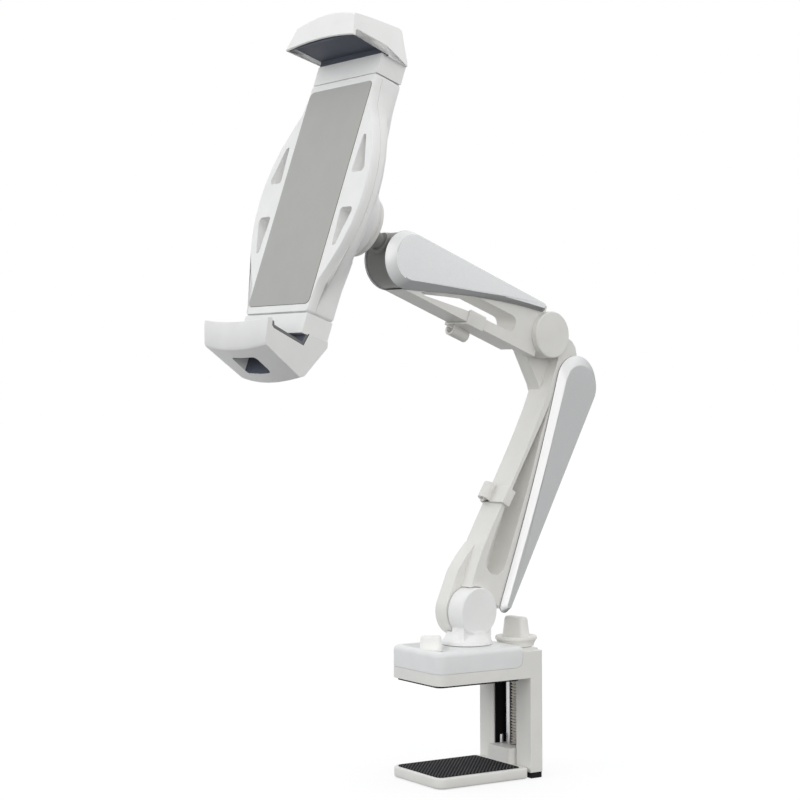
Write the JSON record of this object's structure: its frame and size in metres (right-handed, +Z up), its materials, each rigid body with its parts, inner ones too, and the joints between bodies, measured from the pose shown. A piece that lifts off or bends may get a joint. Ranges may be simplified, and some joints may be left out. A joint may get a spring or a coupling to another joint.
{
  "type": "long-arm clamp mount",
  "caption": "Desk clamp mount for phones and tablets with a jointed long arm and a sprung holder on a ball head.",
  "frame": {"origin": "on the axis of the base swivel, on the underside of the upper rubber pad, where the clamp seats on the desk top", "axes": "+Z up, out of the desk top; -Y to the user, the side that the clamp opens to; +X to the side of the hinge caps"},
  "size_m": [0.1211, 0.3048, 0.5007],
  "materials": {
    "frame_plastic": "matte",
    "white_plastic": "matte",
    "lock_plastic": "gloss",
    "black_rubber": "matte",
    "black_plastic": "matte",
    "steel": "satin",
    "brass": "satin",
    "dark_plastic": "matte",
    "silver": "satin",
    "grey_plastic": "matte",
    "grip_rubber": "matte",
    "liner_rubber": "matte"
  },
  "bodies": {
    "clamp": {"clamp_frame": "frame_plastic", "upper_jaw_pad": "black_rubber", "base_cover": "white_plastic", "spine_end_cap": "black_plastic", "channel_liner": "black_plastic", "guide_rods": "steel", "screw_bush": "brass", "swivel_bush": "dark_plastic", "cover_screws": "steel", "lock_strap": "steel"},
    "jaw_carriage": {"lower_jaw": "frame_plastic", "lower_jaw_pad": "black_rubber", "screw_nut": "brass", "carriage_stop": "steel"},
    "screw": {"lead_screw": "steel", "clamp_knob": "frame_plastic"},
    "lock": {"lock_turn": "lock_plastic", "lock_bolt": "steel"},
    "swivel": {"swivel_post": "white_plastic", "swivel_spindle": "steel", "spindle_washer": "steel", "base_pin": "steel", "base_washer": "dark_plastic"},
    "lower_arm": {"lower_frame": "frame_plastic", "lower_cover_near": "silver", "lower_cover_far": "silver", "lower_clip": "frame_plastic", "base_pin_cap": "frame_plastic"},
    "upper_arm": {"upper_frame": "frame_plastic", "upper_cover_near": "silver", "upper_cover_far": "silver", "upper_clip": "frame_plastic", "elbow_cap": "frame_plastic", "elbow_pin": "steel", "elbow_washer": "dark_plastic", "head_pin": "steel"},
    "head": {"head_yoke": "grey_plastic"},
    "socket": {"ball_cup": "frame_plastic", "lock_ring": "frame_plastic", "turn_bolt": "steel"},
    "holder": {"hub_drum": "white_plastic", "back_shell": "white_plastic", "front_shell": "white_plastic", "grip_pad": "grip_rubber", "shell_screws": "steel"},
    "upper_slide": {"upper_slider": "white_plastic", "upper_jaw_liner": "liner_rubber"},
    "lower_slide": {"lower_slider": "white_plastic", "lower_jaw_liner": "liner_rubber"},
    "pinion": {"rack_pinion": "dark_plastic", "pinion_spring": "steel"}
  },
  "joints": [
    {"name": "jaw_slide", "type": "slide", "parent": "clamp", "child": "jaw_carriage", "axis": [0, 0, 1], "range_m": [0, 0.0495]},
    {"name": "screw_turn", "type": "hinge", "parent": "clamp", "child": "screw", "pos_m": [0, 0.0406, 0], "axis": [0, 0, 1], "range_deg": [-8915, 0]},
    {"name": "lock_turn", "type": "hinge", "parent": "clamp", "child": "lock", "pos_m": [0, -0.029, 0], "axis": [0, 0, 1], "range_deg": [0, 90]},
    {"name": "base_swivel", "type": "hinge", "parent": "clamp", "child": "swivel", "pos_m": [0, 0, 0], "axis": [0, 0, 1], "continuous": true},
    {"name": "base_hinge", "type": "hinge", "parent": "swivel", "child": "lower_arm", "pos_m": [0, 0, 0.046], "axis": [0.989, 0.1478, 0], "range_deg": [-5, 75]},
    {"name": "elbow_hinge", "type": "hinge", "parent": "lower_arm", "child": "upper_arm", "pos_m": [-0.01042, 0.06971, 0.23253], "axis": [-0.989, -0.1478, 0], "range_deg": [-50, 95]},
    {"name": "head_tilt", "type": "hinge", "parent": "upper_arm", "child": "head", "pos_m": [0.00875, -0.05854, 0.27973], "axis": [0.989, 0.1478, 0], "range_deg": [-40, 40]},
    {"name": "socket_swivel", "type": "hinge", "parent": "head", "child": "socket", "pos_m": [0.01347, -0.09012, 0.3007], "axis": [-0.0225, 0.3297, 0.9438], "range_deg": [-20, 20]},
    {"name": "holder_spin", "type": "hinge", "parent": "socket", "child": "holder", "pos_m": [0.01347, -0.09012, 0.3007], "axis": [0.0642, -0.9416, 0.3305], "continuous": true},
    {"name": "upper_jaw_slide", "type": "slide", "parent": "holder", "child": "upper_slide", "axis": [-0.0225, 0.3297, 0.9438], "range_m": [0, 0.042], "stiffness_N_per_m": 150, "springref_m": -0.02},
    {"name": "lower_jaw_slide", "type": "slide", "parent": "holder", "child": "lower_slide", "axis": [0.0225, -0.3297, -0.9438], "range_m": [0, 0.042]},
    {"name": "pinion_turn", "type": "hinge", "parent": "holder", "child": "pinion", "pos_m": [0.01614, -0.12929, 0.31869], "axis": [0.0642, -0.9416, 0.3305], "range_deg": [0, 402]}
  ],
  "couplings": [
    {"joint": "screw_turn", "follows": "jaw_slide", "rad_per_m": -3141.6},
    {"joint": "lower_jaw_slide", "follows": "upper_jaw_slide", "ratio": 1},
    {"joint": "pinion_turn", "follows": "upper_jaw_slide", "rad_per_m": 166.67}
  ]
}
